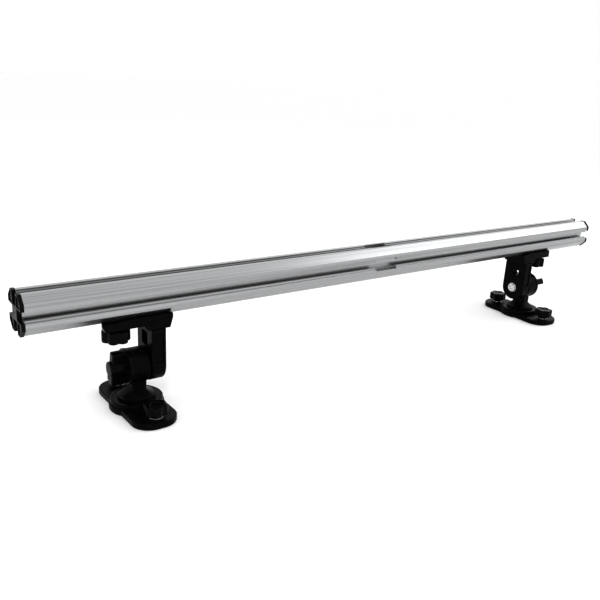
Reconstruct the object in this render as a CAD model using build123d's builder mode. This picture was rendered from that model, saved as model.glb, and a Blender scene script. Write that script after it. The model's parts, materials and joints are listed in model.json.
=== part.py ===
from build123d import *
import os

# Bed cargo bar: a T-slot aluminium bar on two identical adjustable feet.
# Millimetres. +X runs along the bar, +Z is up, Z = 0 is the surface under the
# rubber pads, and X = 0 is the middle of the bar.

# ---------------------------------------------------------------- heights and fits
PAD_H = 2.5                 # rubber pad under each base plate
PLATE_H = 8.0               # base plate
TURRET_H = 7.5              # round turret on the base plate
PIVOT_Z = 71.5              # tilt axis of a foot, parallel to the bar
BAR_Z = 185.5               # axis of the bar
GAP = 0.3                   # clearance between faces of parts that move
RUNNING = 0.05              # radial clearance of a shaft that turns in its bore
LOOSE = 0.2                 # radial clearance of a bolt in a plain hole
SAFE = 1.0                  # how far a cutting tool starts outside the material

# ---------------------------------------------------------------- bar
BAR_L = 1332.8
BAR_S = 60.0                # section across the flats
BAR_CHAMFER = 12.0
MOUTH_W = 17.8              # slot at the surface
MOUTH_D = 3.0
NECK_W = 11.0               # slot between the lips
LIP_D = 6.5                 # underside of the lips, below the surface
CHAMBER_W = 22.0
SLOT_D = 14.0               # floor of the slot, below the surface
CHAMBER_BEVEL = 3.0
CORE_BORE_R = 5.0
CELL_W = 12.6               # hollow cell in each lobe
CELL_AT = 20.0              # middle of that cell, both ways
CELL_BEVEL = 8.0            # its corner towards the bar's chamfer
CELL_INNER_BEVEL = 3.0
WINDOW_L = 53.0             # loading window through the lips at mid bar
WINDOW_W = 22.4
WINDOW_D = 9.0
WINDOW_R = 3.0

# ---------------------------------------------------------------- end caps
CAP_T = 5.6
CAP_OVER = 0.8              # the cap stands this far proud of the section
CAP_EDGE_R = 1.2
CAP_NOTCH_W = 17.0
CAP_NOTCH_D = 10.5
CAP_POCKET_D = 1.6          # recess in the face of each lobe
CAP_POCKET_BEVEL = 10.0
CAP_POCKET_R = 1.0
CAP_RIM = 2.6
CAP_SEAT_D = 2.4            # sunk seat of the screw head
PLUG_L = 12.0
PLUG_W = 12.2
CAP_SCREW_R = 3.0
CAP_SCREW_HEAD_R = 5.6
CAP_SCREW_HEAD_H = 2.2
CAP_SCREW_L = 22.0
CAP_HEX_R = 2.2
CAP_HEX_D = 1.6

# ---------------------------------------------------------------- feet
# u runs outboard along the bar from just inside the upright, v across the bar.
LEFT_U0 = -459.0            # X where u = 0, left foot
RIGHT_U0 = 446.0            # and right foot
LEFT_SWIVEL = 1.0           # turn of each base plate about its turret, degrees
RIGHT_SWIVEL = -4.0

SADDLE_IN = -13.5           # ends of the saddle along u
SADDLE_OUT = 101.0          # at the front edge of the left foot; the end is cut on a slant
SADDLE_HALF_W = 28.0
SADDLE_SLANT = 20.0         # how much shorter it is along its other edge
SADDLE_T = 12.0
SADDLE_HEAD_T = 21.0        # deeper head over the upright
SADDLE_HEAD_OUT = 27.0
SADDLE_HAUNCH = 8.0         # slope from the head to the thin end
SADDLE_TOE = 6.0            # undercut of the outboard end
SADDLE_NOSE = 5.0           # undercut of the inboard end
SADDLE_NOSE_H = 3.0
SADDLE_EDGE_R = 2.5
LIP_UP = 2.8                # height of the lips beside the lower chamfers
LIP_SLOPE = 24.0            # long ramp at one end of each lip
LIP_SHORT = 26.0            # bare stretch beyond that ramp, on the longer edge
POCKET_U = 43.0             # pockets under the thin end, which leave ribs
POCKET_V = 20.0
POCKET_S = 10.0
POCKET_D = 6.0
POCKET_R = 2.0

UPRIGHT_IN = -1.5           # its inboard face along u
UPRIGHT_T = 24.0
UPRIGHT_HALF_W = 28.5       # also the radius of its lower end
UPRIGHT_EDGE_R = 2.0
UPRIGHT_POCKET_W = 21.0     # pocket in its outboard face
UPRIGHT_POCKET_H = 23.0
UPRIGHT_POCKET_D = 14.0
UPRIGHT_POCKET_UP = 43.0    # its middle, above the tilt axis
UPRIGHT_WIN_W = 21.0        # window from that pocket to the inboard face
UPRIGHT_WIN_H = 12.0
UPRIGHT_WIN_R = 3.0
UPRIGHT_WIN_UP = 37.5
PANEL_D = 1.8               # shallow panels in the two edge faces
PANEL_MARGIN = 4.5
PANEL_END = 7.0
PANEL_R = 2.0

UPRIGHT_SCREW_V = 15.0      # two M6 socket screws, either side of the middle
UPRIGHT_SCREW_R = 3.0
UPRIGHT_SCREW_L = 23.0
UPRIGHT_SCREW_HOLE_D = 10.0
SOCKET_HEAD_R = 5.0
SOCKET_HEAD_H = 5.5
SOCKET_SEAT_R = 6.2
SOCKET_SEAT_D = 6.5
SOCKET_HEX_R = 2.8
SOCKET_HEX_D = 3.0

KNOB_U = 69.0               # clamp knob axis
KNOB_R = 22.0
KNOB_H = 24.0
KNOB_LOBES = 6
KNOB_NOTCH_R = 6.0
KNOB_NOTCH_OUT = 3.0        # notch centres lie this far outside the rim
KNOB_TURN = -7.0
KNOB_EDGE_R = 1.6
KNOB_NECK_R = 12.5          # cone between the knob and its washer
KNOB_NECK_H = 4.0
KNOB_NECK_TAPER = -25.0
KNOB_FLOOR = 3.0
CLAMP_WASHER_R = 12.0
CLAMP_WASHER_T = 2.0
CLAMP_BOLT_R = 4.0          # M8
CLAMP_INSERT_R = 7.5
CLAMP_INSERT_H = 14.0
TEE_L = 24.0
TEE_W = 19.0
TEE_H = 4.5
TEE_CORNER_R = 1.5
TEE_END_COVER = 5.0         # knob below the end of the T-bolt
BOLT_TIP = 0.8              # chamfer at the tip of an M8

PIVOT_BOLT_R = 6.0          # M12
PIVOT_HEAD_R = 9.0          # low socket head
PIVOT_HEAD_H = 3.5
PIVOT_HEAD_EDGE_R = 0.8
PIVOT_HEX_R = 4.6
PIVOT_HEX_D = 2.0
PIVOT_TIP = 1.0
HEAD_WASHER_R = 10.4
HEAD_WASHER_T = 1.6
DISC_WASHER_R = 21.0
DISC_WASHER_T = 2.0

POST_U = 38.0               # swivel axis
BOSS_R = 28.2               # head of the swivel post
BOSS_END = 51.5
BOSS_EDGE_R = 1.5
NECK_HALF_U = 12.5
NECK_HALF_V = 15.0
NECK_R = 5.0
POST_FOOT_R = 30.0
POST_FOOT_H = 4.0
POST_FLARE_R = 29.0
POST_FLARE_H = 9.0
SWIVEL_BOLT_R = 5.0         # M10
SWIVEL_HEAD_R = 9.0
SWIVEL_HEAD_H = 4.0
SWIVEL_BOLT_IN = 16.0       # length screwed up into the post
SWIVEL_HOLE_D = 18.0
SWIVEL_HEX_R = 4.0
SWIVEL_HEX_D = 2.5
SWIVEL_WASHER_R = 11.5
SWIVEL_WASHER_T = 1.6
SWIVEL_SEAT_R = 13.0
SWIVEL_SEAT_D = 6.6

COLLAR_R = 29.2             # flange of the pivot knob
COLLAR_T = 5.5
COLLAR_EDGE_R = 1.2
WING_R = 29.0               # tip of each wing of the pivot knob
WING_HALF_T = 7.0
WING_END = 79.5
WING_EDGE_R = 2.5
PIVOT_BORE_END = 76.0       # end of the blind bore
PIVOT_BORE_CLEAR = 0.6
PIVOT_INSERT_R = 10.0
PIVOT_INSERT_L = 16.0
PIVOT_BOLT_END = 75.0
LEFT_KNOB_TURN = 80.0       # where one wing points, about the tilt axis
RIGHT_KNOB_TURN = 155.0
HUB_R = 12.5
HUB_END = 82.3
HUB_EDGE_R = 1.0
HUB_RIM = 2.2
HUB_RECESS_D = 2.0
KNOB_CAP_T = 2.6
KNOB_CAP_GAP = 0.1
KNOB_CAP_EDGE_R = 1.0

PLATE_L = 184.0
PLATE_W = 73.0
PLATE_CORNER = 31.0
PLATE_EDGE_R = 1.8
PLATE_WAIST_R = 43.5
TURRET_R = 41.5
TURRET_EDGE_R = 1.5
PAD_INSET = 1.0
PAD_HOLE_CLEAR = 1.5

BASE_KNOB_V = 70.0
BASE_KNOB_R = 19.0
BASE_KNOB_H = 20.0
BASE_KNOB_LOBES = 6
BASE_NOTCH_R = 5.0
BASE_NOTCH_OUT = 2.5
BASE_KNOB_TURN = 20.0
BASE_KNOB_EDGE_R = 1.8
BASE_NECK_R = 10.5
BASE_NECK_H = 4.0
BASE_NECK_TAPER = -20.0
BASE_DIMPLE_R = 8.5
BASE_DIMPLE_D = 1.5
STUD_R = 4.0                # M8
STUD_IN = 12.0              # length moulded into the knob
STUD_Z = 0.8                # lower end of the stud, inside the pad
STUD_HOLE_CLEAR = 0.3
BASE_WASHER_R = 11.0
BASE_WASHER_T = 1.6

# ---------------------------------------------------------------- worked out
BAR_BOTTOM = BAR_Z - BAR_S / 2
FLAT_HALF = BAR_S / 2 - BAR_CHAMFER
LIP_Z = BAR_BOTTOM + LIP_D + GAP
SADDLE_TOP = BAR_BOTTOM - GAP
SADDLE_LOW = SADDLE_TOP - SADDLE_T
UPRIGHT_TOP = SADDLE_TOP - SADDLE_HEAD_T
CLAMP_KNOB_TOP = SADDLE_LOW - CLAMP_WASHER_T - GAP
PLATE_TOP = PAD_H + PLATE_H
TURRET_TOP = PLATE_TOP + TURRET_H
POST_FOOT_Z = TURRET_TOP + GAP
UPRIGHT_MID = UPRIGHT_IN + UPRIGHT_T / 2
UPRIGHT_OUT = UPRIGHT_IN + UPRIGHT_T
HEAD_WASHER_IN = UPRIGHT_IN - HEAD_WASHER_T
BOSS_START = UPRIGHT_OUT + DISC_WASHER_T + GAP
COLLAR_START = BOSS_END + GAP
BOLT_HOLE_R = PIVOT_BOLT_R + LOOSE
BOLT_FIT_R = PIVOT_BOLT_R + RUNNING
SWIVEL_HEAD_TOP = PAD_H + SWIVEL_SEAT_D - GAP - SWIVEL_WASHER_T
BASE_KNOB_Z = PLATE_TOP + BASE_WASHER_T + GAP
DIAGONAL = Axis((0, 0, 0), (1, 1, 0))

os.makedirs("parts", exist_ok=True)


def save(builder, name):
    builder.part.label = name
    export_step(builder.part, f"parts/{name}.step")


# ================================================================ outlines
def octagon(size):
    """Square outline with the bar's 45 degree corners."""
    half = size / 2
    flat = half - BAR_CHAMFER
    with BuildSketch() as outline:
        with BuildLine():
            Polyline(
                (flat, half), (-flat, half), (-half, flat), (-half, -flat),
                (-flat, -half), (flat, -half), (half, -flat), (half, flat), (flat, half),
            )
        make_face()
    return outline.sketch


def tee_slot():
    """One T-slot, opening at the top side."""
    top = BAR_S / 2
    floor = top - SLOT_D
    shelf = top - MOUTH_D
    lip = top - LIP_D
    mouth = MOUTH_W / 2
    neck = NECK_W / 2
    wide = CHAMBER_W / 2
    with BuildSketch() as slot:
        with BuildLine():
            Polyline(
                (mouth, top + SAFE), (mouth, shelf), (neck, shelf), (neck, lip), (wide, lip),
                (wide, floor + CHAMBER_BEVEL), (wide - CHAMBER_BEVEL, floor),
                (CHAMBER_BEVEL - wide, floor), (-wide, floor + CHAMBER_BEVEL), (-wide, lip),
                (-neck, lip), (-neck, shelf), (-mouth, shelf), (-mouth, top + SAFE),
                (mouth, top + SAFE),
            )
        make_face()
    return slot.sketch


def lobe_cell(width):
    """Cross-section of the hollow inside one lobe of the bar, or of a plug for it."""
    with BuildSketch() as cell:
        with Locations((CELL_AT, CELL_AT)):
            Rectangle(width, width)
        chamfer(cell.vertices().sort_by(DIAGONAL)[-1], CELL_BEVEL)
        chamfer(cell.vertices().sort_by(DIAGONAL)[0], CELL_INNER_BEVEL)
    return cell.sketch


def cap_pocket():
    """Recess in the face of one lobe of an end cap."""
    outer = BAR_S / 2 + CAP_OVER - CAP_RIM
    inner = CAP_NOTCH_W / 2 + CAP_RIM
    with BuildSketch() as pocket:
        with Locations(((outer + inner) / 2, (outer + inner) / 2)):
            Rectangle(outer - inner, outer - inner)
        chamfer(pocket.vertices().sort_by(DIAGONAL)[-1], CAP_POCKET_BEVEL)
        fillet(pocket.vertices(), CAP_POCKET_R)
    return pocket.sketch


def four_ways(sketch):
    """The same sketch at each quarter turn."""
    return Sketch() + [sketch.rotate(Axis.Z, 90 * quarter) for quarter in range(4)]


def lobed_outline(radius, lobes, notch_r, notch_out, turn):
    """Round outline with a ring of scallops; one lobe points along turn."""
    with BuildSketch() as outline:
        Circle(radius)
        with PolarLocations(radius + notch_out, lobes, start_angle=turn + 180 / lobes):
            Circle(notch_r, mode=Mode.SUBTRACT)
    return outline.sketch


# ================================================================ planes of a foot
def foot_plane(side, z, u=0.0, v=0.0):
    """Level plane of a foot: local x outboard, local z up."""
    if side == "left":
        return Plane(origin=(LEFT_U0 - u, -v, z), x_dir=(-1, 0, 0), z_dir=(0, 0, 1))
    return Plane(origin=(RIGHT_U0 + u, v, z), x_dir=(1, 0, 0), z_dir=(0, 0, 1))


def across_plane(side, u):
    """Plane square to the bar at u, centred on the tilt axis: local x along v, z outboard."""
    if side == "left":
        return Plane(origin=(LEFT_U0 - u, 0, PIVOT_Z), x_dir=(0, -1, 0), z_dir=(-1, 0, 0))
    return Plane(origin=(RIGHT_U0 + u, 0, PIVOT_Z), x_dir=(0, 1, 0), z_dir=(1, 0, 0))


def profile_plane(side, v):
    """Upright plane along the bar: local x outboard, local y up, local z along -v."""
    if side == "left":
        return Plane(origin=(LEFT_U0, -v, 0), x_dir=(-1, 0, 0), z_dir=(0, 1, 0))
    return Plane(origin=(RIGHT_U0, v, 0), x_dir=(1, 0, 0), z_dir=(0, -1, 0))


def base_plane(side, v=0.0):
    """Plane under a base plate, turned with it; v runs along the plate."""
    swivel = LEFT_SWIVEL if side == "left" else RIGHT_SWIVEL
    plane = foot_plane(side, 0, POST_U).rotated((0, 0, swivel))
    return Plane(plane.from_local_coords((0, v, 0)), x_dir=plane.x_dir, z_dir=(0, 0, 1))


def outboard(side, shapes):
    """The face or edge that lies furthest outboard."""
    return shapes.sort_by(Axis.X)[0 if side == "left" else -1]


def inboard(side, shapes):
    """The face or edge that lies furthest inboard."""
    return shapes.sort_by(Axis.X)[-1 if side == "left" else 0]


# ================================================================ bar
def make_bar():
    section = Plane(origin=(-BAR_L / 2, 0, BAR_Z), x_dir=(0, 1, 0), z_dir=(1, 0, 0))
    top_face = Plane(origin=(0, 0, BAR_Z + BAR_S / 2), x_dir=(1, 0, 0), z_dir=(0, 0, 1))
    front_face = Plane(origin=(0, -BAR_S / 2, BAR_Z), x_dir=(1, 0, 0), z_dir=(0, -1, 0))
    with BuildPart() as bar_extrusion:
        with BuildSketch(section):
            add(octagon(BAR_S))
            add(four_ways(tee_slot()), mode=Mode.SUBTRACT)
            add(four_ways(lobe_cell(CELL_W)), mode=Mode.SUBTRACT)
            Circle(CORE_BORE_R, mode=Mode.SUBTRACT)
        extrude(amount=BAR_L)
        for face_plane in (top_face, front_face):
            with BuildSketch(face_plane):
                RectangleRounded(WINDOW_L, WINDOW_W, WINDOW_R)
            extrude(amount=-WINDOW_D, mode=Mode.SUBTRACT)
    save(bar_extrusion, "bar_extrusion")


def make_end_cap(side, cap_face):
    notch_at = BAR_S / 2 + CAP_OVER - CAP_NOTCH_D / 2
    with BuildPart() as end_cap:
        with BuildSketch(cap_face):
            add(octagon(BAR_S + 2 * CAP_OVER))
            with PolarLocations(notch_at + SAFE / 2, 4):
                Rectangle(CAP_NOTCH_D + SAFE, CAP_NOTCH_W, mode=Mode.SUBTRACT)
        extrude(amount=CAP_T)
        fillet(outboard(side, end_cap.faces()).outer_wire().edges(), CAP_EDGE_R)
        with BuildSketch(cap_face.offset(CAP_T)):
            add(four_ways(cap_pocket()))
        extrude(amount=-CAP_POCKET_D, mode=Mode.SUBTRACT)
        with BuildSketch(cap_face):
            add(four_ways(lobe_cell(PLUG_W)))
        extrude(amount=-PLUG_L)
        with BuildSketch(cap_face.offset(CAP_T)):
            Circle(CAP_SCREW_HEAD_R + LOOSE)
        extrude(amount=-CAP_SEAT_D, mode=Mode.SUBTRACT)
        with BuildSketch(cap_face.offset(CAP_T)):
            Circle(CAP_SCREW_R + LOOSE)
        extrude(amount=-CAP_T - SAFE, mode=Mode.SUBTRACT)
    save(end_cap, f"{side}_end_cap")


def make_cap_screw(side, cap_face):
    seat = cap_face.offset(CAP_T - CAP_SEAT_D)
    with BuildPart() as cap_screw:
        with BuildSketch(seat):
            Circle(CAP_SCREW_HEAD_R)
        extrude(amount=CAP_SCREW_HEAD_H)
        with BuildSketch(seat):
            Circle(CAP_SCREW_R)
        extrude(amount=-CAP_SCREW_L)
        with BuildSketch(seat.offset(CAP_SCREW_HEAD_H)):
            RegularPolygon(radius=CAP_HEX_R, side_count=6)
        extrude(amount=-CAP_HEX_D, mode=Mode.SUBTRACT)
    save(cap_screw, f"{side}_end_cap_screw")


# ================================================================ saddle and upright
def saddle_lip(side, hand):
    """Side profile of one hooked lip: square at one end, a long ramp at the other."""
    if hand == 1:
        square_end = SADDLE_IN
        ramp_end = SADDLE_OUT - LIP_SHORT
        full_end = ramp_end - LIP_SLOPE
    else:
        square_end = SADDLE_OUT
        ramp_end = SADDLE_IN
        full_end = ramp_end + LIP_SLOPE
    lip_top = SADDLE_TOP + LIP_UP
    along = (ramp_end - full_end, 0)
    with BuildSketch() as lip:
        with BuildLine():
            Line((square_end, SADDLE_TOP), (square_end, lip_top))
            Line((square_end, lip_top), (full_end, lip_top))
            Spline((full_end, lip_top), (ramp_end, SADDLE_TOP), tangents=(along, along))
            Line((ramp_end, SADDLE_TOP), (square_end, SADDLE_TOP))
        make_face()
    return lip.sketch


def make_saddle(side):
    """Saddle that carries the bar, with a hooked lip beside each lower chamfer."""
    inner = FLAT_HALF + GAP
    over_screws = ((0, -UPRIGHT_SCREW_V), (0, UPRIGHT_SCREW_V))
    with BuildPart() as saddle:
        with BuildSketch(profile_plane(side, SADDLE_HALF_W)):
            with BuildLine():
                Polyline(
                    (SADDLE_IN, SADDLE_TOP), (SADDLE_OUT, SADDLE_TOP),
                    (SADDLE_OUT - SADDLE_TOE, SADDLE_LOW),
                    (SADDLE_HEAD_OUT + SADDLE_HAUNCH, SADDLE_LOW),
                    (SADDLE_HEAD_OUT, UPRIGHT_TOP), (SADDLE_IN + SADDLE_NOSE, UPRIGHT_TOP),
                    (SADDLE_IN, SADDLE_TOP - SADDLE_NOSE_H), (SADDLE_IN, SADDLE_TOP),
                )
            make_face()
        extrude(amount=2 * SADDLE_HALF_W)
        fillet(saddle.edges().filter_by(Axis.X).sort_by(Axis.Z)[:2], SADDLE_EDGE_R)
        for hand, start in ((1, SADDLE_HALF_W), (-1, -inner)):
            with BuildSketch(profile_plane(side, start)):
                add(saddle_lip(side, hand))
            extrude(amount=SADDLE_HALF_W - inner)
        # room for the bar's chamfered lower corners
        with BuildSketch(Plane(origin=(0, 0, BAR_Z), x_dir=(0, 1, 0), z_dir=(1, 0, 0))):
            add(octagon(BAR_S + 2 * GAP))
        extrude(amount=BAR_L / 2, both=True, mode=Mode.SUBTRACT)
        with BuildSketch(foot_plane(side, SADDLE_TOP + SAFE, KNOB_U)):
            Circle(CLAMP_BOLT_R + LOOSE)
        extrude(amount=-SADDLE_T - 2 * SAFE, mode=Mode.SUBTRACT)
        with BuildSketch(foot_plane(side, SADDLE_TOP + SAFE, UPRIGHT_MID)):
            with Locations(*over_screws):
                Circle(UPRIGHT_SCREW_R + LOOSE)
        extrude(amount=-SADDLE_HEAD_T - 2 * SAFE, mode=Mode.SUBTRACT)
        with BuildSketch(foot_plane(side, SADDLE_TOP, UPRIGHT_MID)):
            with Locations(*over_screws):
                Circle(SOCKET_SEAT_R)
        extrude(amount=-SOCKET_SEAT_D, mode=Mode.SUBTRACT)
        with BuildSketch(foot_plane(side, SADDLE_LOW, POCKET_U)):
            with Locations((0, -POCKET_V), (0, POCKET_V)):
                RectangleRounded(POCKET_S, POCKET_S, POCKET_R)
        extrude(amount=POCKET_D, mode=Mode.SUBTRACT)
        with BuildSketch(foot_plane(side, SADDLE_LOW)):
            with BuildLine():
                Polyline(
                    (SADDLE_OUT, SADDLE_HALF_W), (SADDLE_OUT - SADDLE_SLANT, -SADDLE_HALF_W),
                    (SADDLE_OUT, -SADDLE_HALF_W), (SADDLE_OUT, SADDLE_HALF_W),
                )
            make_face()
        extrude(amount=BAR_Z - SADDLE_LOW, mode=Mode.SUBTRACT)
    save(saddle, f"{side}_saddle")


def make_upright_screws(side):
    """Two socket screws that hold the upright to the saddle."""
    seat = foot_plane(side, SADDLE_TOP - SOCKET_SEAT_D, UPRIGHT_MID)
    spots = ((0, -UPRIGHT_SCREW_V), (0, UPRIGHT_SCREW_V))
    with BuildPart() as upright_screws:
        with BuildSketch(seat):
            with Locations(*spots):
                Circle(SOCKET_HEAD_R)
        extrude(amount=SOCKET_HEAD_H)
        with BuildSketch(seat):
            with Locations(*spots):
                Circle(UPRIGHT_SCREW_R)
        extrude(amount=-UPRIGHT_SCREW_L)
        with BuildSketch(seat.offset(SOCKET_HEAD_H)):
            with Locations(*spots):
                RegularPolygon(radius=SOCKET_HEX_R, side_count=6)
        extrude(amount=-SOCKET_HEX_D, mode=Mode.SUBTRACT)
    save(upright_screws, f"{side}_upright_screws")


def make_upright(side):
    """Flat upright with a round lower end and a pocket that opens through a smaller window."""
    rise = UPRIGHT_TOP - PIVOT_Z
    with BuildPart() as upright:
        with BuildSketch(across_plane(side, UPRIGHT_IN)):
            Circle(UPRIGHT_HALF_W)
            with Locations((0, rise / 2)):
                Rectangle(2 * UPRIGHT_HALF_W, rise)
        extrude(amount=UPRIGHT_T)
        fillet(upright.edges().filter_by(Axis.Z), UPRIGHT_EDGE_R)
        with BuildSketch(across_plane(side, UPRIGHT_OUT)):
            with Locations((0, UPRIGHT_POCKET_UP)):
                RectangleRounded(UPRIGHT_POCKET_W, UPRIGHT_POCKET_H, UPRIGHT_WIN_R)
        extrude(amount=-UPRIGHT_POCKET_D, mode=Mode.SUBTRACT)
        with BuildSketch(across_plane(side, UPRIGHT_IN)):
            Circle(BOLT_FIT_R)
            with Locations((0, UPRIGHT_WIN_UP)):
                RectangleRounded(UPRIGHT_WIN_W, UPRIGHT_WIN_H, UPRIGHT_WIN_R)
        extrude(amount=UPRIGHT_T, mode=Mode.SUBTRACT)
        for hand in (-1, 1):
            with BuildSketch(profile_plane(side, hand * UPRIGHT_HALF_W)):
                with Locations((UPRIGHT_MID, PIVOT_Z + rise / 2)):
                    RectangleRounded(
                        UPRIGHT_T - 2 * PANEL_MARGIN, rise - 2 * PANEL_END, PANEL_R)
            extrude(amount=hand * PANEL_D, mode=Mode.SUBTRACT)
        with BuildSketch(foot_plane(side, UPRIGHT_TOP, UPRIGHT_MID)):
            with Locations((0, -UPRIGHT_SCREW_V), (0, UPRIGHT_SCREW_V)):
                Circle(UPRIGHT_SCREW_R)
        extrude(amount=-UPRIGHT_SCREW_HOLE_D, mode=Mode.SUBTRACT)
    save(upright, f"{side}_upright")


# ================================================================ clamp
def make_tee_bolt(side):
    """T-bolt: head in the bar's lower slot, shank down into the clamp knob."""
    head = foot_plane(side, LIP_Z, KNOB_U)
    with BuildPart() as tee_bolt:
        with BuildSketch(head):
            RectangleRounded(TEE_L, TEE_W, TEE_CORNER_R)
        extrude(amount=TEE_H)
        with BuildSketch(head):
            Circle(CLAMP_BOLT_R)
        extrude(amount=-(LIP_Z - CLAMP_KNOB_TOP + KNOB_H - TEE_END_COVER))
        chamfer(tee_bolt.edges().filter_by(GeomType.CIRCLE).sort_by(Axis.Z)[0], BOLT_TIP)
    save(tee_bolt, f"{side}_tee_bolt")


def make_clamp_washer(side):
    with BuildPart() as clamp_washer:
        with BuildSketch(foot_plane(side, SADDLE_LOW, KNOB_U)):
            Circle(CLAMP_WASHER_R)
            Circle(CLAMP_BOLT_R + LOOSE, mode=Mode.SUBTRACT)
        extrude(amount=-CLAMP_WASHER_T)
    save(clamp_washer, f"{side}_clamp_washer")


def make_clamp_knob(side):
    top = foot_plane(side, CLAMP_KNOB_TOP, KNOB_U)
    with BuildPart() as clamp_knob:
        with BuildSketch(top.offset(-KNOB_NECK_H)):
            add(lobed_outline(KNOB_R, KNOB_LOBES, KNOB_NOTCH_R, KNOB_NOTCH_OUT, KNOB_TURN))
        extrude(amount=KNOB_NECK_H - KNOB_H)
        fillet(clamp_knob.edges().group_by(Axis.Z)[0], KNOB_EDGE_R)
        with BuildSketch(top):
            Circle(KNOB_NECK_R)
        extrude(amount=-KNOB_NECK_H, taper=KNOB_NECK_TAPER)
        with BuildSketch(top):
            Circle(CLAMP_INSERT_R)
        extrude(amount=-CLAMP_INSERT_H, mode=Mode.SUBTRACT)
        with BuildSketch(top.offset(-CLAMP_INSERT_H)):
            Circle(CLAMP_BOLT_R + SAFE)
        extrude(amount=-(KNOB_H - CLAMP_INSERT_H - KNOB_FLOOR), mode=Mode.SUBTRACT)
    save(clamp_knob, f"{side}_clamp_knob")


def make_clamp_knob_insert(side):
    with BuildPart() as clamp_insert:
        with BuildSketch(foot_plane(side, CLAMP_KNOB_TOP, KNOB_U)):
            Circle(CLAMP_INSERT_R)
            Circle(CLAMP_BOLT_R + RUNNING, mode=Mode.SUBTRACT)
        extrude(amount=-CLAMP_INSERT_H)
    save(clamp_insert, f"{side}_clamp_knob_insert")


# ================================================================ tilt pivot
def make_pivot_bolt(side):
    seat = across_plane(side, HEAD_WASHER_IN)
    with BuildPart() as pivot_bolt:
        with BuildSketch(seat):
            Circle(PIVOT_HEAD_R)
        extrude(amount=-PIVOT_HEAD_H)
        fillet(inboard(side, pivot_bolt.edges().filter_by(GeomType.CIRCLE)), PIVOT_HEAD_EDGE_R)
        with BuildSketch(seat):
            Circle(PIVOT_BOLT_R)
        extrude(amount=PIVOT_BOLT_END - HEAD_WASHER_IN)
        chamfer(outboard(side, pivot_bolt.edges().filter_by(GeomType.CIRCLE)), PIVOT_TIP)
        with BuildSketch(seat.offset(-PIVOT_HEAD_H)):
            RegularPolygon(radius=PIVOT_HEX_R, side_count=6)
        extrude(amount=PIVOT_HEX_D, mode=Mode.SUBTRACT)
    save(pivot_bolt, f"{side}_pivot_bolt")


def make_ring(side, name, start_u, outer_r, inner_r, length):
    """Plain washer or sleeve on the tilt axis, from start_u outboard."""
    with BuildPart() as ring:
        with BuildSketch(across_plane(side, start_u)):
            Circle(outer_r)
            Circle(inner_r, mode=Mode.SUBTRACT)
        extrude(amount=length)
    save(ring, f"{side}_{name}")


def make_swivel_post(side):
    """Post with a round head on the tilt axis and a round foot on the turret."""
    foot = foot_plane(side, POST_FOOT_Z, POST_U)
    flare_top = POST_FOOT_H + POST_FLARE_H
    with BuildPart() as swivel_post:
        with BuildSketch(across_plane(side, BOSS_START)):
            Circle(BOSS_R)
        extrude(amount=BOSS_END - BOSS_START)
        fillet(swivel_post.edges().filter_by(GeomType.CIRCLE), BOSS_EDGE_R)
        with BuildSketch(foot.offset(POST_FOOT_H)):
            Circle(POST_FLARE_R)
        with BuildSketch(foot.offset(flare_top)):
            RectangleRounded(2 * NECK_HALF_U, 2 * NECK_HALF_V, NECK_R)
        loft()
        with BuildSketch(foot):
            Circle(POST_FOOT_R)
        extrude(amount=POST_FOOT_H)
        with BuildSketch(foot.offset(flare_top)):
            RectangleRounded(2 * NECK_HALF_U, 2 * NECK_HALF_V, NECK_R)
        extrude(amount=PIVOT_Z - POST_FOOT_Z - flare_top)
        with BuildSketch(across_plane(side, BOSS_START)):
            Circle(BOLT_FIT_R)
        extrude(amount=BOSS_END - BOSS_START, mode=Mode.SUBTRACT)
        with BuildSketch(foot):
            Circle(SWIVEL_BOLT_R)
        extrude(amount=SWIVEL_HOLE_D, mode=Mode.SUBTRACT)
    save(swivel_post, f"{side}_swivel_post")


def wing_outline(turn):
    """Bar across the tilt axis with round tips; one wing points along turn."""
    with BuildSketch() as outline:
        Rectangle(2 * WING_R, 2 * WING_HALF_T, rotation=turn)
        Circle(WING_R, mode=Mode.INTERSECT)
        fillet(outline.vertices(), WING_EDGE_R)
    return outline.sketch


def make_pivot_knob(side):
    """Two-winged knob with a round collar and a hub, on the tilt axis."""
    collar = across_plane(side, COLLAR_START)
    turn = LEFT_KNOB_TURN if side == "left" else RIGHT_KNOB_TURN
    with BuildPart() as pivot_knob:
        with BuildSketch(collar):
            Circle(COLLAR_R)
        extrude(amount=COLLAR_T)
        fillet(pivot_knob.edges().filter_by(GeomType.CIRCLE), COLLAR_EDGE_R)
        with BuildSketch(collar.offset(COLLAR_T)):
            add(wing_outline(turn))
        extrude(amount=WING_END - COLLAR_START - COLLAR_T)
        fillet(outboard(side, pivot_knob.faces()).edges(), WING_EDGE_R)
        with BuildSketch(collar.offset(COLLAR_T)):
            Circle(HUB_R)
        extrude(amount=HUB_END - COLLAR_START - COLLAR_T)
        fillet(outboard(side, pivot_knob.edges().filter_by(GeomType.CIRCLE)), HUB_EDGE_R)
        with BuildSketch(across_plane(side, HUB_END)):
            Circle(HUB_R - HUB_RIM)
        extrude(amount=-HUB_RECESS_D, mode=Mode.SUBTRACT)
        with BuildSketch(collar):
            Circle(PIVOT_INSERT_R)
        extrude(amount=PIVOT_INSERT_L, mode=Mode.SUBTRACT)
        with BuildSketch(collar.offset(PIVOT_INSERT_L)):
            Circle(PIVOT_BOLT_R + PIVOT_BORE_CLEAR)
        extrude(amount=PIVOT_BORE_END - COLLAR_START - PIVOT_INSERT_L, mode=Mode.SUBTRACT)
    save(pivot_knob, f"{side}_pivot_knob")


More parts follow.
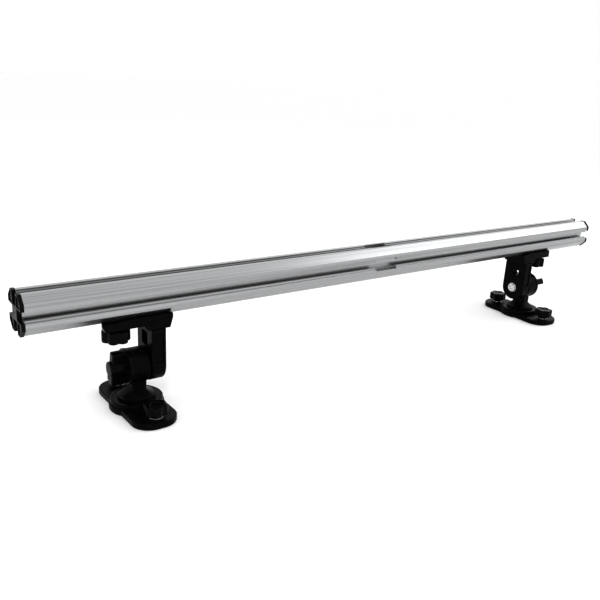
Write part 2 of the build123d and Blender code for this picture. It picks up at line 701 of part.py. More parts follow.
def make_pivot_knob_cap(side):
    with BuildPart() as knob_cap:
        with BuildSketch(across_plane(side, HUB_END - HUB_RECESS_D)):
            Circle(HUB_R - HUB_RIM - KNOB_CAP_GAP)
        extrude(amount=KNOB_CAP_T)
        fillet(outboard(side, knob_cap.edges().filter_by(GeomType.CIRCLE)), KNOB_CAP_EDGE_R)
    save(knob_cap, f"{side}_pivot_knob_cap")


# ================================================================ base
def make_base_plate(side):
    base = base_plane(side)
    with BuildPart() as base_plate:
        with BuildSketch(base.offset(PAD_H)):
            RectangleRounded(PLATE_W, PLATE_L, PLATE_CORNER)
            Circle(PLATE_WAIST_R)
        extrude(amount=PLATE_H)
        fillet(base_plate.edges().group_by(Axis.Z)[-1], PLATE_EDGE_R)
        with BuildSketch(base.offset(PLATE_TOP)):
            Circle(TURRET_R)
        extrude(amount=TURRET_H)
        fillet(base_plate.edges().group_by(Axis.Z)[-1], TURRET_EDGE_R)
        with BuildSketch(base.offset(PAD_H)):
            Circle(SWIVEL_BOLT_R + RUNNING)
        extrude(amount=PLATE_H + TURRET_H, mode=Mode.SUBTRACT)
        with BuildSketch(base.offset(PAD_H)):
            Circle(SWIVEL_SEAT_R)
        extrude(amount=SWIVEL_SEAT_D, mode=Mode.SUBTRACT)
        with BuildSketch(base.offset(PAD_H)):
            with Locations((0, -BASE_KNOB_V), (0, BASE_KNOB_V)):
                Circle(STUD_R + RUNNING)
        extrude(amount=PLATE_H, mode=Mode.SUBTRACT)
    save(base_plate, f"{side}_base_plate")


def make_base_pad(side):
    with BuildPart() as base_pad:
        with BuildSketch(base_plane(side)):
            RectangleRounded(PLATE_W - 2 * PAD_INSET, PLATE_L - 2 * PAD_INSET, PLATE_CORNER - PAD_INSET)
            Circle(PLATE_WAIST_R - PAD_INSET)
            with Locations((0, -BASE_KNOB_V), (0, BASE_KNOB_V)):
                Circle(STUD_R + PAD_HOLE_CLEAR, mode=Mode.SUBTRACT)
        extrude(amount=PAD_H)
    save(base_pad, f"{side}_base_pad")


def make_swivel_washer(side):
    with BuildPart() as swivel_washer:
        with BuildSketch(base_plane(side).offset(SWIVEL_HEAD_TOP)):
            Circle(SWIVEL_WASHER_R)
            Circle(SWIVEL_BOLT_R + LOOSE, mode=Mode.SUBTRACT)
        extrude(amount=SWIVEL_WASHER_T)
    save(swivel_washer, f"{side}_swivel_washer")


def make_swivel_bolt(side):
    """Bolt up through the base plate, screwed into the post."""
    base = base_plane(side)
    with BuildPart() as swivel_bolt:
        with BuildSketch(base.offset(SWIVEL_HEAD_TOP)):
            Circle(SWIVEL_HEAD_R)
        extrude(amount=-SWIVEL_HEAD_H)
        with BuildSketch(base.offset(SWIVEL_HEAD_TOP)):
            Circle(SWIVEL_BOLT_R)
        extrude(amount=POST_FOOT_Z + SWIVEL_BOLT_IN - SWIVEL_HEAD_TOP)
        with BuildSketch(base.offset(SWIVEL_HEAD_TOP - SWIVEL_HEAD_H)):
            RegularPolygon(radius=SWIVEL_HEX_R, side_count=6)
        extrude(amount=SWIVEL_HEX_D, mode=Mode.SUBTRACT)
    save(swivel_bolt, f"{side}_swivel_bolt")


def make_base_washers(side):
    with BuildPart() as base_washers:
        with BuildSketch(base_plane(side).offset(PLATE_TOP)):
            with Locations((0, -BASE_KNOB_V), (0, BASE_KNOB_V)):
                Circle(BASE_WASHER_R)
                Circle(STUD_R + STUD_HOLE_CLEAR, mode=Mode.SUBTRACT)
        extrude(amount=BASE_WASHER_T)
    save(base_washers, f"{side}_base_washers")


def make_base_knob(side, where, knob_plane):
    """Hand knob on the base plate, moulded onto its stud."""
    knob_foot = knob_plane.offset(BASE_KNOB_Z)
    with BuildPart() as base_knob:
        with BuildSketch(knob_foot.offset(BASE_NECK_H)):
            add(lobed_outline(
                BASE_KNOB_R, BASE_KNOB_LOBES, BASE_NOTCH_R, BASE_NOTCH_OUT, BASE_KNOB_TURN))
        extrude(amount=BASE_KNOB_H - BASE_NECK_H)
        fillet(base_knob.edges().group_by(Axis.Z)[-1], BASE_KNOB_EDGE_R)
        with BuildSketch(knob_foot):
            Circle(BASE_NECK_R)
        extrude(amount=BASE_NECK_H, taper=BASE_NECK_TAPER)
        with BuildSketch(knob_foot.offset(BASE_KNOB_H)):
            Circle(BASE_DIMPLE_R)
        extrude(amount=-BASE_DIMPLE_D, mode=Mode.SUBTRACT)
        with BuildSketch(knob_foot):
            Circle(STUD_R)
        extrude(amount=STUD_IN, mode=Mode.SUBTRACT)
    save(base_knob, f"{side}_{where}_base_knob")

    with BuildPart() as stud:
        with BuildSketch(knob_plane.offset(STUD_Z)):
            Circle(STUD_R)
        extrude(amount=BASE_KNOB_Z + STUD_IN - STUD_Z)
        chamfer(stud.edges().filter_by(GeomType.CIRCLE).sort_by(Axis.Z)[0], BOLT_TIP)
    save(stud, f"{side}_{where}_base_stud")


# ================================================================ assembly
make_bar()

for side, sign in (("left", -1), ("right", 1)):
    cap_face = Plane(origin=(sign * BAR_L / 2, 0, BAR_Z), x_dir=(0, 1, 0), z_dir=(sign, 0, 0))
    make_end_cap(side, cap_face)
    make_cap_screw(side, cap_face)
    make_saddle(side)
    make_upright_screws(side)
    make_upright(side)
    make_tee_bolt(side)
    make_clamp_washer(side)
    make_clamp_knob(side)
    make_clamp_knob_insert(side)
    make_pivot_bolt(side)
    make_ring(side, "pivot_head_washer", HEAD_WASHER_IN, HEAD_WASHER_R, BOLT_HOLE_R, HEAD_WASHER_T)
    make_ring(side, "friction_washer", UPRIGHT_OUT, DISC_WASHER_R, BOLT_HOLE_R, DISC_WASHER_T)
    make_swivel_post(side)
    make_pivot_knob(side)
    make_ring(side, "pivot_knob_insert", COLLAR_START, PIVOT_INSERT_R, BOLT_FIT_R, PIVOT_INSERT_L)
    make_pivot_knob_cap(side)
    make_base_plate(side)
    make_base_pad(side)
    make_swivel_washer(side)
    make_swivel_bolt(side)
    make_base_washers(side)
    front_v = -sign * BASE_KNOB_V
    make_base_knob(side, "front", base_plane(side, front_v))
    make_base_knob(side, "rear", base_plane(side, -front_v))
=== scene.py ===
import json
import math

import bmesh
import bpy
from mathutils import Matrix, Vector


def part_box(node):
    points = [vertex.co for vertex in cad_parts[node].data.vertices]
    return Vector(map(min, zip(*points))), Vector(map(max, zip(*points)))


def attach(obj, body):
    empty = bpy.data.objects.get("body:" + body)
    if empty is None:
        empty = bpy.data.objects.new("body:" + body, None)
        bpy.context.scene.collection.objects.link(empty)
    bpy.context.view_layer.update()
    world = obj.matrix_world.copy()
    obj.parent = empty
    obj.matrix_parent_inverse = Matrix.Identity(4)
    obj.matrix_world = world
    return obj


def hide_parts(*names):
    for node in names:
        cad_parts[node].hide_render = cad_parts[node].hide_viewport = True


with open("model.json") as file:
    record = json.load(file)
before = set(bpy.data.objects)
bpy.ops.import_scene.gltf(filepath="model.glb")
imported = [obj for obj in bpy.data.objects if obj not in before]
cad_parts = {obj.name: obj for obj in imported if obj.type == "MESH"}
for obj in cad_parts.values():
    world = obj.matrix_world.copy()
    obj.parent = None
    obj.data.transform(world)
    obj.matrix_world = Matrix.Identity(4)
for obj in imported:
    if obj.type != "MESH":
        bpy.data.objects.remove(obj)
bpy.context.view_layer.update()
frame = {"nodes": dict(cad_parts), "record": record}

MM = 0.001
SIDES = ("left", "right")

# ---------------------------------------------------------------- places, from the frame
bar_lo, bar_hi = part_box("bar_extrusion")
BAR_CENTRE = (bar_lo + bar_hi) / 2
BAR_S = bar_hi.z - bar_lo.z
BODY_OF = {node: body for body, nodes in frame["record"]["behaviour"]["bodies"].items() for node in nodes}
SLOT_OF = {part["node"]: part["material_slot"] for part in frame["record"]["subparts"]}

# ---------------------------------------------------------------- bar section
HALF = BAR_S / 2
CHAMFER = 12 * MM
MOUTH = 8.9 * MM                # half widths of the T-slot
NECK = 5.5 * MM
WIDE = 11 * MM
SHELF = HALF - 3 * MM           # distances from the bar's axis
LIP = HALF - 6.5 * MM
FLOOR = HALF - 14 * MM
FLOOR_BEVEL = 3 * MM
CELL_AT = 20 * MM
CELL_HALF = 6.3 * MM
CELL_OUTER_BEVEL = 8 * MM
CELL_INNER_BEVEL = 3 * MM
CORE_R = 5 * MM
EDGE_R = 0.9 * MM
MOUTH_EDGE_R = 0.5 * MM
SMALL_R = 0.3 * MM
WINDOW_L = 53 * MM
WINDOW_W = 22.4 * MM
WINDOW_D = 9 * MM
WINDOW_R = 3 * MM

# ---------------------------------------------------------------- end caps
CAP_NOTCH_FLOOR = 11 * MM       # the notches between the four lobes reach this near the axis
CAP_NOTCH_R = 2 * MM
CAP_EDGE_R = 0.35 * MM
CUT_OVER = 0.5 * MM             # how far a cutter starts and ends outside what it cuts

# ---------------------------------------------------------------- knobs
KNOB_SIDES = 96                 # facets round a knob
SHOULDER_STEPS = 6
CLAMP_LOBES = 6
CLAMP_SCALLOP = 4.2 * MM
CLAMP_NECK_R = 12.5 * MM
CLAMP_DIMPLE_R = 12 * MM
BASE_LOBES = 6
BASE_SCALLOP = 3.4 * MM
BASE_NECK_R = 10.5 * MM
BASE_DIMPLE_R = 8.5 * MM
NECK_H = 4 * MM
SHOULDER_R = 2.4 * MM
DIMPLE_D = 1.5 * MM
DIMPLE_EDGE = 0.7 * MM
BORE_R = 4 * MM

LOBE_SHARPNESS = 1.6            # above 1 the lobes are wider than the scallops
NECK_FLARE_AT = 0.8             # share of the neck's height where its cone ends
NECK_FLARE = 0.3                # widening of that cone, as a share of the height
FACE_DROP = 0.3 * MM            # the face dips this much inside its rounded rim
FACE_SCALLOP = 0.4              # share of the scallops left half way in
RIM_TOLERANCE = 0.05 * MM

# ---------------------------------------------------------------- edges and shading
SHARP_ANGLE = 32                # degrees between faces
BAR_SHARP_ANGLE = 28
KNOB_SHARP_ANGLE = 40
FLAT_ANGLE = 0.6                # faces within this angle are one flat face
WELD = 1e-6
EDGE_SEGMENTS = 3

# ---------------------------------------------------------------- patterns
PATTERN_DARK = 0.35             # noise levels where each end of a range is reached
PATTERN_LIGHT = 0.65
PATTERN_SMOOTH = 0.3
PATTERN_ROUGH = 0.7

# ---------------------------------------------------------------- camera
CAMERA_FROM_BAR = Vector((-0.8934, -0.9490, 0.3285))
CAMERA_YAW = math.radians(36.926)       # heading, from +Y towards +X
CAMERA_PITCH = math.radians(17.861)     # below the horizon
CAMERA_ROLL = math.radians(3.156)
LENS_MM = 41.21
SENSOR_MM = 36.0

# ---------------------------------------------------------------- studio
FLOOR_HALF = 40.0
ROOM_DIM = 0.75                 # light of the room from -X
ROOM_BRIGHT = 1.45              # and from +X
CONTRAST = 0.85
SOFTBOXES = (                   # name, place, target, width, depth, watts
    ("key", (-1.2, -1.3, 1.6), (0, 0, 0.1), 0.5, 0.4, 12),
    ("side", (2.2, -0.5, 1.8), (0.2, 0, 0.2), 2.2, 1.4, 21),
    ("edge", (-1.9, 0.5, 0.9), (-0.3, 0, 0.1), 0.5, 0.5, 5),
)


# ================================================================ materials
class Finish:
    """A Principled material with helpers for the few patterns that the parts need."""

    def __init__(self, name, colour, roughness, metallic=0.0, specular=0.5):
        self.material = bpy.data.materials.new(name)
        self.material.use_nodes = True
        self.tree = self.material.node_tree
        self.shader = self.tree.nodes["Principled BSDF"]
        self.shader.inputs["Base Color"].default_value = (*colour, 1)
        self.shader.inputs["Roughness"].default_value = roughness
        self.shader.inputs["Metallic"].default_value = metallic
        self.shader.inputs["Specular IOR Level"].default_value = specular
        self.place = self.tree.nodes.new("ShaderNodeTexCoord").outputs["Object"]

    def noise(self, scale, stretch=(1, 1, 1), detail=3.0):
        mapping = self.tree.nodes.new("ShaderNodeMapping")
        mapping.inputs["Scale"].default_value = stretch
        texture = self.tree.nodes.new("ShaderNodeTexNoise")
        texture.inputs["Scale"].default_value = scale
        texture.inputs["Detail"].default_value = detail
        self.tree.links.new(self.place, mapping.inputs["Vector"])
        self.tree.links.new(mapping.outputs["Vector"], texture.inputs["Vector"])
        return texture.outputs["Fac"]

    def colour_between(self, pattern, dark, light):
        ramp = self.tree.nodes.new("ShaderNodeValToRGB")
        ramp.color_ramp.elements[0].position = PATTERN_DARK
        ramp.color_ramp.elements[0].color = (*dark, 1)
        ramp.color_ramp.elements[1].position = PATTERN_LIGHT
        ramp.color_ramp.elements[1].color = (*light, 1)
        self.tree.links.new(pattern, ramp.inputs["Fac"])
        self.tree.links.new(ramp.outputs["Color"], self.shader.inputs["Base Color"])

    def roughness_between(self, pattern, low, high):
        spread = self.tree.nodes.new("ShaderNodeMapRange")
        spread.inputs["From Min"].default_value = PATTERN_SMOOTH
        spread.inputs["From Max"].default_value = PATTERN_ROUGH
        spread.inputs["To Min"].default_value = low
        spread.inputs["To Max"].default_value = high
        self.tree.links.new(pattern, spread.inputs["Value"])
        self.tree.links.new(spread.outputs["Result"], self.shader.inputs["Roughness"])

    def bump(self, patterns):
        """patterns holds (height pattern, strength, depth in metres), the coarsest first."""
        below = None
        for pattern, strength, depth in patterns:
            node = self.tree.nodes.new("ShaderNodeBump")
            node.inputs["Strength"].default_value = strength
            node.inputs["Distance"].default_value = depth
            self.tree.links.new(pattern, node.inputs["Height"])
            if below:
                self.tree.links.new(below, node.inputs["Normal"])
            below = node.outputs["Normal"]
        self.tree.links.new(below, self.shader.inputs["Normal"])


def drawn_aluminium():
    """Clear anodised extrusion: fine lines along the bar from the die."""
    finish = Finish("drawn_aluminium", (0.34, 0.344, 0.348), 0.3, metallic=1.0)
    lines = finish.noise(420, (0.004, 1, 1), detail=4)
    broad = finish.noise(60, (0.02, 1, 1), detail=2)
    finish.colour_between(lines, (0.29, 0.294, 0.298), (0.39, 0.394, 0.398))
    finish.roughness_between(broad, 0.24, 0.36)
    finish.bump([(lines, 0.12, 0.00006)])
    return finish.material


def powder_coat():
    """Satin black powder coat with a fine orange peel."""
    finish = Finish("powder_coat", (0.002, 0.002, 0.0022), 0.3, specular=0.03)
    peel = finish.noise(900, detail=2)
    patches = finish.noise(70, detail=3)
    finish.colour_between(patches, (0.0014, 0.0014, 0.0016), (0.003, 0.003, 0.0032))
    finish.roughness_between(patches, 0.24, 0.36)
    finish.bump([(peel, 0.22, 0.00012)])
    return finish.material


def moulded_plastic(name, colour, low, high, specular, grain):
    """Black moulded plastic with a fine spark-eroded grain."""
    finish = Finish(name, colour, low, specular=specular)
    fine = finish.noise(1600, detail=2)
    soft = finish.noise(110, detail=2)
    lighter = tuple(1.6 * channel for channel in colour)
    finish.colour_between(soft, colour, lighter)
    finish.roughness_between(soft, low, high)
    finish.bump([(soft, 0.05, 0.0003), (fine, grain, 0.00008)])
    return finish.material


def plated_steel(name, dark, light, low, high):
    """Plated or blackened steel with a faint mottle and turning marks."""
    finish = Finish(name, light, low, metallic=1.0)
    mottle = finish.noise(320, detail=4)
    marks = finish.noise(2400, (1, 0.3, 0.3), detail=1)
    finish.colour_between(mottle, dark, light)
    finish.roughness_between(mottle, low, high)
    finish.bump([(marks, 0.08, 0.00004)])
    return finish.material


def pad_rubber():
    """Matte moulded rubber."""
    finish = Finish("rubber", (0.005, 0.005, 0.005), 0.75, specular=0.06)
    grain = finish.noise(1300, detail=3)
    patches = finish.noise(90, detail=2)
    finish.colour_between(patches, (0.0035, 0.0035, 0.0035), (0.0065, 0.0065, 0.0065))
    finish.roughness_between(patches, 0.66, 0.84)
    finish.bump([(grain, 0.3, 0.00012)])
    return finish.material


def studio_floor():
    """Pale seamless backdrop paper."""
    finish = Finish("floor_paper", (0.9, 0.9, 0.9), 0.8, specular=0.1)
    fibres = finish.noise(180, detail=4)
    finish.colour_between(fibres, (0.885, 0.885, 0.885), (0.905, 0.905, 0.905))
    finish.bump([(fibres, 0.05, 0.0001)])
    return finish.material


MATERIALS = {
    "anodised_aluminium": drawn_aluminium(),
    "cap_plastic": moulded_plastic("cap_plastic_grain", (0.002, 0.002, 0.0022), 0.3, 0.4, 0.06, 0.15),
    "cast_black": powder_coat(),
    "knob_plastic": moulded_plastic("knob_plastic_grain", (0.0015, 0.0015, 0.0016), 0.16, 0.26, 0.05, 0.06),
    "zinc_steel": plated_steel("zinc_plate", (0.5, 0.51, 0.53), (0.68, 0.68, 0.68), 0.22, 0.36),
    "black_screw_steel": plated_steel("black_oxide", (0.02, 0.02, 0.02), (0.045, 0.044, 0.042), 0.34, 0.46),
    "brass_insert": plated_steel("turned_brass", (0.5, 0.34, 0.12), (0.68, 0.5, 0.22), 0.2, 0.32),
    "nylon_washer": moulded_plastic("nylon", (0.012, 0.012, 0.012), 0.5, 0.62, 0.2, 0.15),
    "pad_rubber": pad_rubber(),
}


# ================================================================ piece helpers
def new_piece(name, mesh, node):
    """An object for mesh that rides on the CAD node's body and stands for that node."""
    piece = bpy.data.objects.new(name, mesh)
    bpy.context.scene.collection.objects.link(piece)
    mesh.materials.clear()
    mesh.materials.append(MATERIALS[SLOT_OF[node]])
    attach(piece, BODY_OF[node])
    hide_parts(node)
    return piece


def smooth_by_angle(mesh, degrees=SHARP_ANGLE):
    mesh.polygons.foreach_set("use_smooth", [True] * len(mesh.polygons))
    mesh.set_sharp_from_angle(angle=math.radians(degrees))


def even_shading(piece):
    """Flat faces stay flat between rounded edges."""
    modifier = piece.modifiers.new("even_shading", "WEIGHTED_NORMAL")
    modifier.keep_sharp = True
    modifier.weight = 80


def plain_copy(node):
    """The CAD piece's mesh with its flat faces joined up."""
    mesh = frame["nodes"][node].data.copy()
    work = bmesh.new()
    work.from_mesh(mesh)
    bmesh.ops.remove_doubles(work, verts=work.verts, dist=WELD)
    bmesh.ops.dissolve_limit(
        work, angle_limit=math.radians(FLAT_ANGLE), verts=work.verts, edges=work.edges)
    work.to_mesh(mesh)
    work.free()
    return mesh


def round_edges(piece, edge_r):
    smooth_by_angle(piece.data)
    if edge_r:
        bevel = piece.modifiers.new("rounded_edges", "BEVEL")
        bevel.width = edge_r
        bevel.segments = EDGE_SEGMENTS
        bevel.limit_method = "ANGLE"
        bevel.angle_limit = math.radians(SHARP_ANGLE)
        bevel.use_clamp_overlap = True
        bevel.miter_outer = "MITER_ARC"
    even_shading(piece)


def rounded_copy(node, edge_r):
    """The CAD piece with its machined or moulded edges rounded."""
    round_edges(new_piece(f"{node}_finished", plain_copy(node), node), edge_r)


def cut_away(piece, cutters):
    """Takes each cutter out of the piece's mesh."""
    for cutter in cutters:
        cut = piece.modifiers.new(cutter.name, "BOOLEAN")
        cut.operation = "DIFFERENCE"
        cut.solver = "EXACT"
        cut.object = cutter
    material = piece.data.materials[0]
    cut_mesh = bpy.data.meshes.new_from_object(piece.evaluated_get(bpy.context.evaluated_depsgraph_get()))
    piece.modifiers.clear()
    piece.data = cut_mesh
    cut_mesh.materials.clear()
    cut_mesh.materials.append(material)
    for cutter in cutters:
        bpy.data.objects.remove(cutter)


# ================================================================ bar
def rounded_outline(points, radii, steps=3):
    """A closed outline with each corner replaced by an arc."""
    outline = []
    for index, corner in enumerate(points):
        before = (points[index - 1] - corner).normalized()
        after = (points[(index + 1) % len(points)] - corner).normalized()
        half_angle = math.acos(max(-1, min(1, before.dot(after)))) / 2
        if math.degrees(half_angle) > 89:
            outline.append(corner)
            continue
        reach = radii[index] / math.tan(half_angle)
        centre = corner + (before + after).normalized() * radii[index] / math.sin(half_angle)
        first = corner + before * reach - centre
        last = corner + after * reach - centre
        start = math.atan2(first.y, first.x)
        sweep = (math.atan2(last.y, last.x) - start + math.pi) % (2 * math.pi) - math.pi
        for step in range(steps + 1):
            angle = start + sweep * step / steps
            outline.append(centre + radii[index] * Vector((math.cos(angle), math.sin(angle))))
    return outline


def slotted_outline():
    """Outer outline of the bar's section: four T-slots in a chamfered square."""
    one_side = [
        (CHAMFER - HALF, HALF, EDGE_R), (-MOUTH, HALF, MOUTH_EDGE_R), (-MOUTH, SHELF, SMALL_R),
        (-NECK, SHELF, MOUTH_EDGE_R), (-NECK, LIP, SMALL_R), (-WIDE, LIP, SMALL_R),
        (-WIDE, FLOOR + FLOOR_BEVEL, SMALL_R), (FLOOR_BEVEL - WIDE, FLOOR, SMALL_R),
    ]
    one_side += [(-x, y, r) for x, y, r in reversed(one_side)]
    points = []
    radii = []
    for quarter in range(4):
        turn = Matrix.Rotation(-quarter * math.pi / 2, 2)
        points += [turn @ Vector((x, y)) for x, y, _ in one_side]
        radii += [r for _, _, r in one_side]
    return rounded_outline(points, radii)


def cell_outline(quarter):
    low = CELL_AT - CELL_HALF
    high = CELL_AT + CELL_HALF
    corners = [
        (low + CELL_INNER_BEVEL, low), (high, low), (high, high - CELL_OUTER_BEVEL),
        (high - CELL_OUTER_BEVEL, high), (low, high), (low, low + CELL_INNER_BEVEL),
    ]
    turn = Matrix.Rotation(quarter * math.pi / 2, 2)
    return rounded_outline([turn @ Vector(corner) for corner in corners], [SMALL_R] * len(corners))


def circle_outline(radius, count=32):
    angles = [2 * math.pi * index / count for index in range(count)]
    return [Vector((radius * math.cos(a), radius * math.sin(a))) for a in angles]


def add_prism(work, outlines, to_place, length):
    """Walls along each outline and a filled face at both ends. to_place maps (x, y, along) to a point."""
    for_ends = ([], [])
    for outline in outlines:
        rings = [[work.verts.new(to_place(p.x, p.y, along)) for p in outline] for along in (0, length)]
        count = len(outline)
        for index in range(count):
            after = (index + 1) % count
            work.faces.new((rings[0][index], rings[0][after], rings[1][after], rings[1][index]))
        for ring, edges in zip(rings, for_ends):
            edges += [work.edges.get((ring[index], ring[(index + 1) % count])) for index in range(count)]
    for edges in for_ends:
        bmesh.ops.triangle_fill(work, edges=edges, use_beauty=True)
    bmesh.ops.recalc_face_normals(work, faces=work.faces)


def mesh_from(work, name):
    mesh = bpy.data.meshes.new(name)
    work.to_mesh(mesh)
    work.free()
    return mesh


def prism_cutter(name, outline, to_place, length):
    work = bmesh.new()
    add_prism(work, [outline], to_place, length)
    cutter = bpy.data.objects.new(name, mesh_from(work, name))
    bpy.context.scene.collection.objects.link(cutter)
    return cutter


def window_cutter(name, to_place):
    corners = [
        Vector((x * WINDOW_L / 2, y * WINDOW_W / 2)) for x, y in ((-1, -1), (1, -1), (1, 1), (-1, 1))
    ]
    return prism_cutter(name, rounded_outline(corners, [WINDOW_R] * 4, 6), to_place, WINDOW_D + CHAMFER)


def make_bar():
    outlines = [slotted_outline(), circle_outline(CORE_R)]
    outlines += [cell_outline(quarter) for quarter in range(4)]
    work = bmesh.new()
    add_prism(
        work, outlines,
        lambda x, y, along: (bar_lo.x + along, BAR_CENTRE.y + x, BAR_CENTRE.z + y),
        bar_hi.x - bar_lo.x,
    )
    bar = new_piece("bar_drawn", mesh_from(work, "bar_drawn"), "bar_extrusion")
    deep = HALF - WINDOW_D
    cut_away(bar, (
        window_cutter("top_cutter", lambda x, y, along: (
            BAR_CENTRE.x + x, BAR_CENTRE.y + y, BAR_CENTRE.z + deep + along)),
        window_cutter("front_cutter", lambda x, y, along: (
            BAR_CENTRE.x + x, BAR_CENTRE.y - deep - along, BAR_CENTRE.z + y)),
    ))
    smooth_by_angle(bar.data, BAR_SHARP_ANGLE)
    even_shading(bar)


def make_end_cap(side, way):
    """Cap with a lobe over each corner of the section; the slots' mouths stay open between them."""
    node = f"{side}_end_cap"
    lo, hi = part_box(node)
    bar_end = bar_lo.x if side == "left" else bar_hi.x
    outer_face = lo.x if side == "left" else hi.x
    thick = abs(outer_face - bar_end)
    beyond = HALF + CHAMFER
    corners = ((-MOUTH, CAP_NOTCH_FLOOR), (MOUTH, CAP_NOTCH_FLOOR), (MOUTH, beyond), (-MOUTH, beyond))
    cutters = []
    for quarter in range(4):
        turn = Matrix.Rotation(quarter * math.pi / 2, 2)
        outline = rounded_outline([turn @ Vector(corner) for corner in corners], [CAP_NOTCH_R] * 4)
        cutters.append(prism_cutter(
            f"{side}_notch_{quarter}", outline,
            lambda x, y, along: (
                bar_end + way * (along - CUT_OVER), BAR_CENTRE.y + x, BAR_CENTRE.z + y),
            thick + 2 * CUT_OVER,
        ))
    cap = new_piece(f"{node}_finished", plain_copy(node), node)
    cut_away(cap, cutters)
    round_edges(cap, CAP_EDGE_R)


# ================================================================ hand knobs
def knob_profile(radius, height, neck_r, dimple_r):
    """(height, radius, share of the scallops) from the neck's foot to the middle of the face."""
    profile = [
        (0, BORE_R, 0), (0, neck_r, 0), (NECK_H * NECK_FLARE_AT, neck_r + NECK_H * NECK_FLARE, 0),
    ]
    for step in range(SHOULDER_STEPS + 1):
        angle = math.pi / 2 * step / SHOULDER_STEPS
        profile.append((
            NECK_H + SHOULDER_R * (1 - math.cos(angle)),
            radius - SHOULDER_R * (1 - math.sin(angle)),
            1,
        ))
    for step in range(SHOULDER_STEPS + 1):
        angle = math.pi / 2 * step / SHOULDER_STEPS
        profile.append((
            height - SHOULDER_R * (1 - math.sin(angle)),
            radius - SHOULDER_R * (1 - math.cos(angle)),
            1,
        ))
    face = height - FACE_DROP
    profile += [
        (face, (dimple_r + radius) / 2, FACE_SCALLOP),
        (face, dimple_r + DIMPLE_EDGE, 0),
        (face - 0.3 * DIMPLE_EDGE, dimple_r, 0),
        (height - DIMPLE_D, dimple_r - DIMPLE_EDGE, 0),
        (height - DIMPLE_D, dimple_r / 2, 0),
    ]
    return profile


def make_lobed_knob(node, lobes, scallop, neck_r, dimple_r, upward):
    """A hand knob with smooth scallops; its face looks up or down."""
    lo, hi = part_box(node)
    centre = (lo + hi) / 2
    vertices = [vertex.co - centre for vertex in frame["nodes"][node].data.vertices]
    furthest = max(vertices, key=lambda v: round(math.hypot(v.x, v.y), 6))
    radius = math.hypot(furthest.x, furthest.y)
    turn = lobe_direction(vertices, radius, lobes)
    way = 1 if upward else -1
    foot = lo.z if upward else hi.z
    work = bmesh.new()
    rings = []
    for height, ring_r, share in knob_profile(radius, hi.z - lo.z, neck_r, dimple_r):
        ring = []
        for index in range(KNOB_SIDES):
            angle = 2 * math.pi * index / KNOB_SIDES
            between = (0.5 - 0.5 * math.cos(lobes * (angle - turn))) ** LOBE_SHARPNESS
            reach = ring_r - share * scallop * between
            ring.append(work.verts.new((
                centre.x + reach * math.cos(angle), centre.y + reach * math.sin(angle), foot + way * height,
            )))
        rings.append(ring)
    for lower, upper in zip(rings, rings[1:]):
        for index in range(KNOB_SIDES):
            after = (index + 1) % KNOB_SIDES
            work.faces.new((lower[index], lower[after], upper[after], upper[index]))
    work.faces.new(rings[-1])
    work.faces.new(rings[0])
    bmesh.ops.recalc_face_normals(work, faces=work.faces)
    mesh = mesh_from(work, f"{node}_moulded")
    smooth_by_angle(mesh, KNOB_SHARP_ANGLE)
    piece = new_piece(f"{node}_moulded", mesh, node)
    even_shading(piece)


def lobe_direction(vertices, radius, lobes):
    """Where one lobe's middle points: the mean direction of the vertices on the rim, taken lobe by lobe."""
    total = Vector((0, 0))
    for vertex in vertices:
        if math.hypot(vertex.x, vertex.y) > radius - RIM_TOLERANCE:
            angle = lobes * math.atan2(vertex.y, vertex.x)
            total += Vector((math.cos(angle), math.sin(angle)))
    return math.atan2(total.y, total.x) / lobes


# ================================================================ feet
EDGES = {                        # edge radius in mm of each rounded piece, the same on both sides
    "end_cap_screw": 0.4, "saddle": 0.9, "upright": 0.8, "clamp_washer": 0.3,
    "pivot_bolt": 0.3, "pivot_head_washer": 0.35, "friction_washer": 0.3, "swivel_post": 0.8,
    "pivot_knob": 0.5, "pivot_knob_cap": 0.0, "base_plate": 0.4, "base_pad": 0.5,
    "base_washers": 0.35,
}
INSIDE = (
    "upright_screws", "tee_bolt", "clamp_knob_insert", "pivot_knob_insert", "swivel_washer",
    "swivel_bolt", "front_base_stud", "rear_base_stud",
)


def make_feet():
    for side in SIDES:
        for name, edge_r in EDGES.items():
            rounded_copy(f"{side}_{name}", edge_r * MM)
        for name in INSIDE:
            node = frame["nodes"][f"{side}_{name}"]
            node.material_slots[0].material = MATERIALS[SLOT_OF[f"{side}_{name}"]]
        make_lobed_knob(
            f"{side}_clamp_knob", CLAMP_LOBES, CLAMP_SCALLOP, CLAMP_NECK_R, CLAMP_DIMPLE_R, upward=False)
        for where in ("front", "rear"):
            make_lobed_knob(
                f"{side}_{where}_base_knob", BASE_LOBES, BASE_SCALLOP, BASE_NECK_R, BASE_DIMPLE_R,
                upward=True)


# ================================================================ studio
def add_camera():
    ahead = Vector((
        math.sin(CAMERA_YAW) * math.cos(CAMERA_PITCH),
        math.cos(CAMERA_YAW) * math.cos(CAMERA_PITCH),
        -math.sin(CAMERA_PITCH),
    ))
    level_right = ahead.cross(Vector((0, 0, 1))).normalized()
    level_up = level_right.cross(ahead)
    right = level_right * math.cos(CAMERA_ROLL) + level_up * math.sin(CAMERA_ROLL)
    up = level_up * math.cos(CAMERA_ROLL) - level_right * math.sin(CAMERA_ROLL)
    data = bpy.data.cameras.new("camera")
    data.lens = LENS_MM
    data.sensor_width = SENSOR_MM
    data.clip_start = 0.01
    camera = bpy.data.objects.new("camera", data)
    bpy.context.scene.collection.objects.link(camera)
    turn = Matrix((right, up, -ahead)).transposed().to_4x4()
    camera.matrix_world = Matrix.Translation(BAR_CENTRE + CAMERA_FROM_BAR) @ turn
    bpy.context.scene.camera = camera


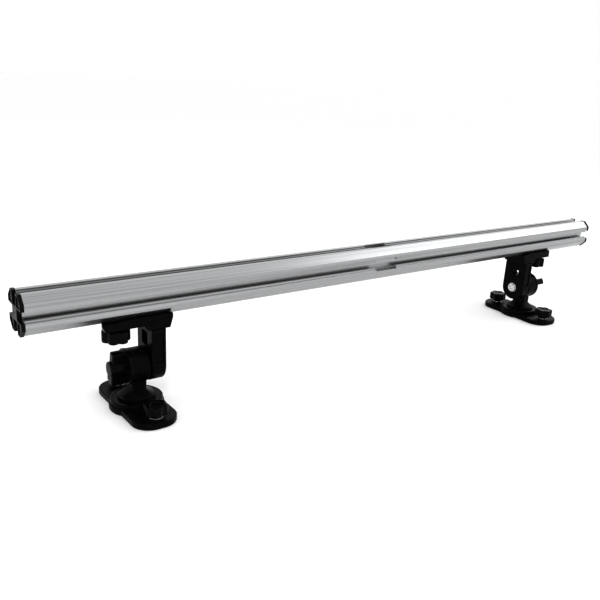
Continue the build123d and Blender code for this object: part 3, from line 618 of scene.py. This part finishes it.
def add_softbox(name, place, target, width, depth, watts):
    data = bpy.data.lights.new(name, "AREA")
    data.shape = "RECTANGLE"
    data.size = width
    data.size_y = depth
    data.energy = watts
    light = bpy.data.objects.new(name, data)
    bpy.context.scene.collection.objects.link(light)
    light.location = place
    light.rotation_euler = (Vector(target) - Vector(place)).to_track_quat("-Z", "Y").to_euler()


def add_world():
    """White backdrop; the room that lights the parts is brighter towards +X."""
    world = bpy.data.worlds.new("studio")
    bpy.context.scene.world = world
    world.use_nodes = True
    tree = world.node_tree
    backdrop = tree.nodes["Background"]
    backdrop.inputs["Color"].default_value = (1, 1, 1, 1)
    room = tree.nodes.new("ShaderNodeBackground")
    room.inputs["Color"].default_value = (1, 1, 1, 1)
    direction = tree.nodes.new("ShaderNodeTexCoord")
    parts = tree.nodes.new("ShaderNodeSeparateXYZ")
    spread = tree.nodes.new("ShaderNodeMapRange")
    spread.inputs["From Min"].default_value = -1
    spread.inputs["From Max"].default_value = 1
    spread.inputs["To Min"].default_value = ROOM_DIM
    spread.inputs["To Max"].default_value = ROOM_BRIGHT
    rays = tree.nodes.new("ShaderNodeLightPath")
    either = tree.nodes.new("ShaderNodeMixShader")
    tree.links.new(direction.outputs["Generated"], parts.inputs["Vector"])
    tree.links.new(parts.outputs["X"], spread.inputs["Value"])
    tree.links.new(spread.outputs["Result"], room.inputs["Strength"])
    tree.links.new(rays.outputs["Is Camera Ray"], either.inputs["Fac"])
    tree.links.new(room.outputs["Background"], either.inputs[1])
    tree.links.new(backdrop.outputs["Background"], either.inputs[2])
    tree.links.new(either.outputs["Shader"], tree.nodes["World Output"].inputs["Surface"])


def add_studio():
    work = bmesh.new()
    bmesh.ops.create_grid(work, x_segments=2, y_segments=2, size=FLOOR_HALF)
    floor = bpy.data.objects.new("floor", mesh_from(work, "floor"))
    floor.data.materials.append(studio_floor())
    bpy.context.scene.collection.objects.link(floor)
    for softbox in SOFTBOXES:
        add_softbox(*softbox)
    add_world()
    bpy.context.scene.view_settings.view_transform = "Standard"
    bpy.context.scene.view_settings.gamma = CONTRAST


make_bar()
make_end_cap("left", -1)
make_end_cap("right", 1)
make_feet()
add_studio()
add_camera()
